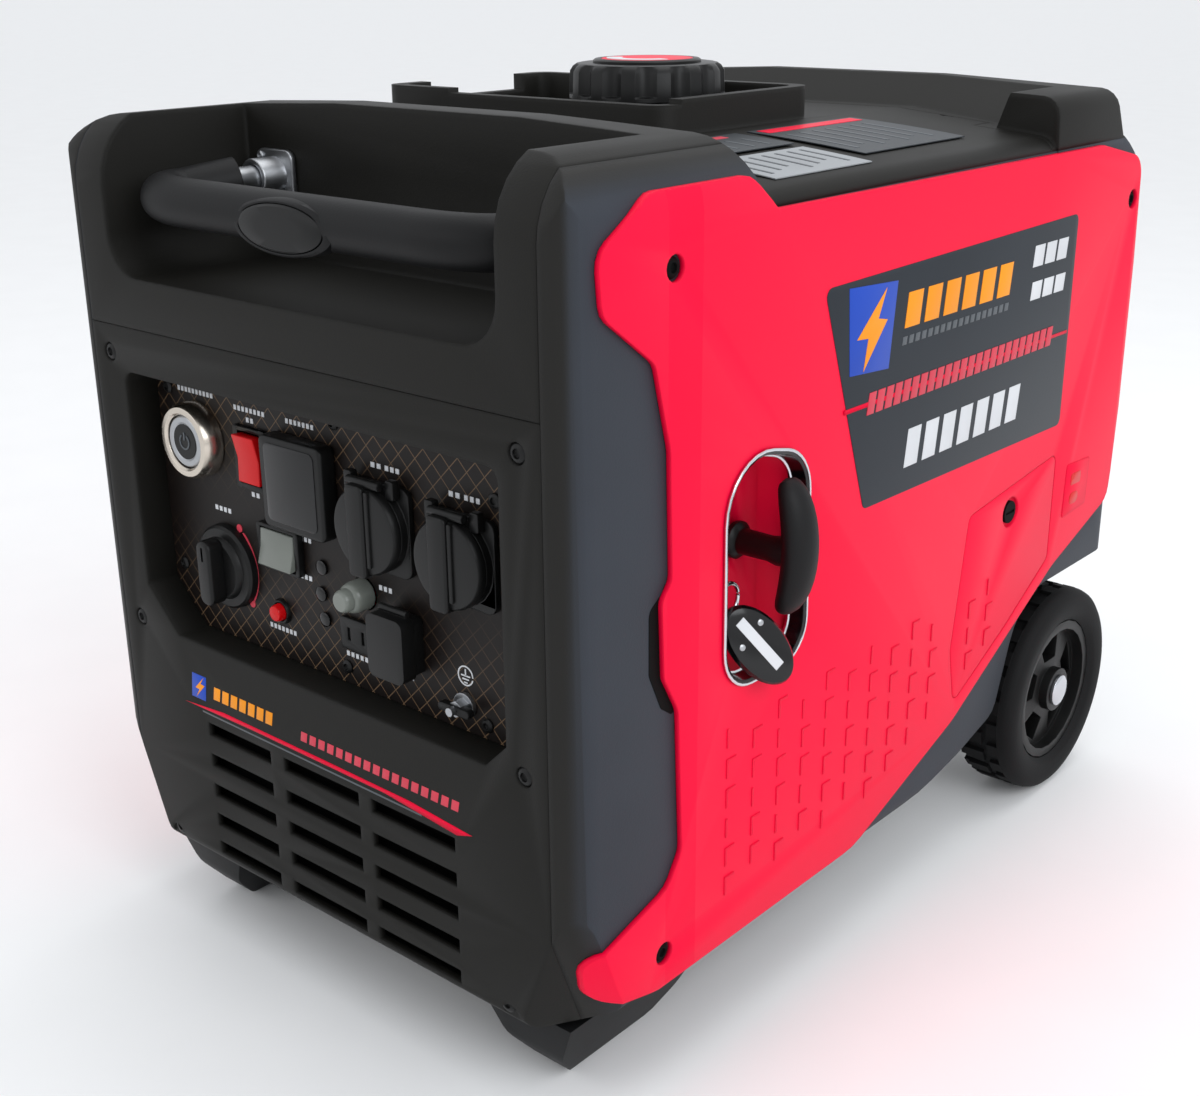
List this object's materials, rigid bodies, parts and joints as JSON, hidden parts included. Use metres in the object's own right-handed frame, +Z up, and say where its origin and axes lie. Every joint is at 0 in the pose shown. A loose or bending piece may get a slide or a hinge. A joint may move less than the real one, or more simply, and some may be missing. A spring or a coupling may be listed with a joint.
{
  "type": "inverter generator",
  "caption": "Portable inverter generator in a closed plastic case with red side covers, a pull-out handle, a recoil starter and rear wheels",
  "frame": {"origin": "The middle of the footprint of the whole object's box, on the ground under the feet and wheels", "axes": "+Z up; the control panel faces -Y, so +Y runs along the case to the wheels; +X is the recoil starter side"},
  "size_m": [0.4476, 0.629, 0.5505],
  "materials": {
    "shell": "fine textured charcoal-black plastic",
    "side_shell": "fine textured blue-grey plastic",
    "red_cover": "satin red plastic",
    "black_plastic": "satin black plastic",
    "gloss_black": "polished black plastic",
    "smoke_plastic": "grey translucent plastic",
    "red_key": "bright red plastic",
    "panel_plate": "printed dark plate",
    "rubber": "matte black rubber",
    "tyre": "treaded black rubber",
    "chrome": "bright chrome",
    "steel": "plain steel",
    "painted_steel": "dark coated steel",
    "cast_alloy": "raw cast alloy"
  },
  "bodies": {
    "case": {"right_side_shell": "side_shell", "left_side_shell": "side_shell", "right_side_cover": "red_cover", "left_side_cover": "red_cover", "handle_shell": "shell", "front_fascia": "shell", "top_cover": "shell", "rear_cover": "shell", "base_tray": "shell", "right_foot": "rubber", "left_foot": "rubber", "axle": "steel", "right_handle_guide": "steel", "left_handle_guide": "steel", "control_panel": "panel_plate", "start_button_collar": "steel", "display_module": "gloss_black", "breaker_frame": "black_plastic", "oil_light": "gloss_black", "overload_light": "gloss_black", "output_light": "gloss_black", "small_outlet": "black_plastic", "dc_outlet": "black_plastic", "ground_terminal": "steel", "first_socket": "black_plastic", "second_socket": "black_plastic", "recoil_pocket": "red_cover", "recoil_bezel": "chrome", "fuel_tank": "painted_steel", "engine": "cast_alloy", "alternator": "steel", "recoil_starter": "black_plastic", "air_filter": "black_plastic", "muffler": "steel", "inverter_module": "cast_alloy", "battery": "black_plastic"},
    "handle": {"pull_handle": "black_plastic"},
    "button": {"handle_button": "black_plastic"},
    "starter": {"starter_grip": "rubber", "starter_rope": "rubber"},
    "remote": {"remote_fob": "gloss_black"},
    "start_key": {"start_button": "black_plastic"},
    "reset_key": {"reset_button": "red_key"},
    "breaker_key": {"breaker_cap": "smoke_plastic"},
    "switch": {"main_switch": "red_key"},
    "breaker": {"breaker_rocker": "smoke_plastic"},
    "knob": {"fuel_knob": "black_plastic"},
    "cap_plug": {"fuel_cap_plug": "black_plastic"},
    "cap": {"fuel_cap": "black_plastic"},
    "first_lid": {"first_socket_lid": "black_plastic"},
    "second_lid": {"second_socket_lid": "black_plastic"},
    "dc_lid": {"dc_cover": "black_plastic"},
    "right_wheel": {"right_tyre": "tyre", "right_rim": "black_plastic", "right_hub_cap": "chrome"},
    "left_wheel": {"left_tyre": "tyre", "left_rim": "black_plastic", "left_hub_cap": "chrome"},
    "door": {"service_door": "red_cover"},
    "door_screw": {"service_door_screw": "black_plastic"}
  },
  "joints": [
    {"name": "handle_slide", "type": "slide", "parent": "case", "child": "handle", "axis": [0, -1, 0], "range_m": [0, 0.25]},
    {"name": "handle_button_press", "type": "slide", "parent": "handle", "child": "button", "axis": [0, 1, 0], "range_m": [0, 0.004], "stiffness_N_per_m": 400},
    {"name": "starter_pull", "type": "slide", "parent": "case", "child": "starter", "axis": [1, 0, 0], "range_m": [0, 0.3], "stiffness_N_per_m": 40},
    {"name": "remote_lift_out", "type": "slide", "parent": "case", "child": "remote", "axis": [0.898, 0, -0.44], "range_m": [0, 0.06]},
    {"name": "start_button_press", "type": "slide", "parent": "case", "child": "start_key", "axis": [0, 1, 0], "range_m": [0, 0.003], "stiffness_N_per_m": 600},
    {"name": "reset_button_press", "type": "slide", "parent": "case", "child": "reset_key", "axis": [0, 1, 0], "range_m": [0, 0.0025], "stiffness_N_per_m": 600},
    {"name": "breaker_cap_press", "type": "slide", "parent": "case", "child": "breaker_key", "axis": [0, 1, 0], "range_m": [0, 0.0025], "stiffness_N_per_m": 600},
    {"name": "main_switch_rock", "type": "hinge", "parent": "case", "child": "switch", "pos_m": [-0.07575, -0.2928, 0.337], "axis": [1, 0, 0], "range_deg": [0, 10]},
    {"name": "breaker_rock", "type": "hinge", "parent": "case", "child": "breaker", "pos_m": [-0.05375, -0.2941, 0.286], "axis": [1, 0, 0], "range_deg": [0, 8]},
    {"name": "fuel_knob_turn", "type": "hinge", "parent": "case", "child": "knob", "pos_m": [-0.10775, -0.2985, 0.262], "axis": [0, 1, 0], "range_deg": [0, 120]},
    {"name": "fuel_cap_lift", "type": "slide", "parent": "case", "child": "cap_plug", "axis": [0, 0, 1], "range_m": [0, 0.06]},
    {"name": "fuel_cap_turn", "type": "hinge", "parent": "cap_plug", "child": "cap", "pos_m": [-0.03175, 0.0195, 0.53], "axis": [0, 0, 1], "range_deg": [0, 90]},
    {"name": "first_lid_open", "type": "hinge", "parent": "case", "child": "first_lid", "pos_m": [0.03625, -0.3045, 0.3475], "axis": [-1, 0, 0], "range_deg": [0, 110], "stiffness_Nm_per_rad": 0.02},
    {"name": "second_lid_open", "type": "hinge", "parent": "case", "child": "second_lid", "pos_m": [0.10025, -0.3045, 0.3435], "axis": [-1, 0, 0], "range_deg": [0, 110], "stiffness_Nm_per_rad": 0.02},
    {"name": "dc_cover_open", "type": "hinge", "parent": "case", "child": "dc_lid", "pos_m": [0.05225, -0.302, 0.2765], "axis": [-1, 0, 0], "range_deg": [0, 110], "stiffness_Nm_per_rad": 0.02},
    {"name": "right_wheel_spin", "type": "hinge", "parent": "case", "child": "right_wheel", "pos_m": [0.181, 0.2345, 0.08], "axis": [1, 0, 0], "continuous": true},
    {"name": "left_wheel_spin", "type": "hinge", "parent": "case", "child": "left_wheel", "pos_m": [-0.2, 0.2345, 0.08], "axis": [1, 0, 0], "continuous": true},
    {"name": "service_door_off", "type": "slide", "parent": "case", "child": "door", "axis": [1, 0, 0], "range_m": [0, 0.04]},
    {"name": "door_screw_turn", "type": "hinge", "parent": "door", "child": "door_screw", "pos_m": [0.196, 0.1355, 0.25], "axis": [1, 0, 0], "continuous": true}
  ]
}
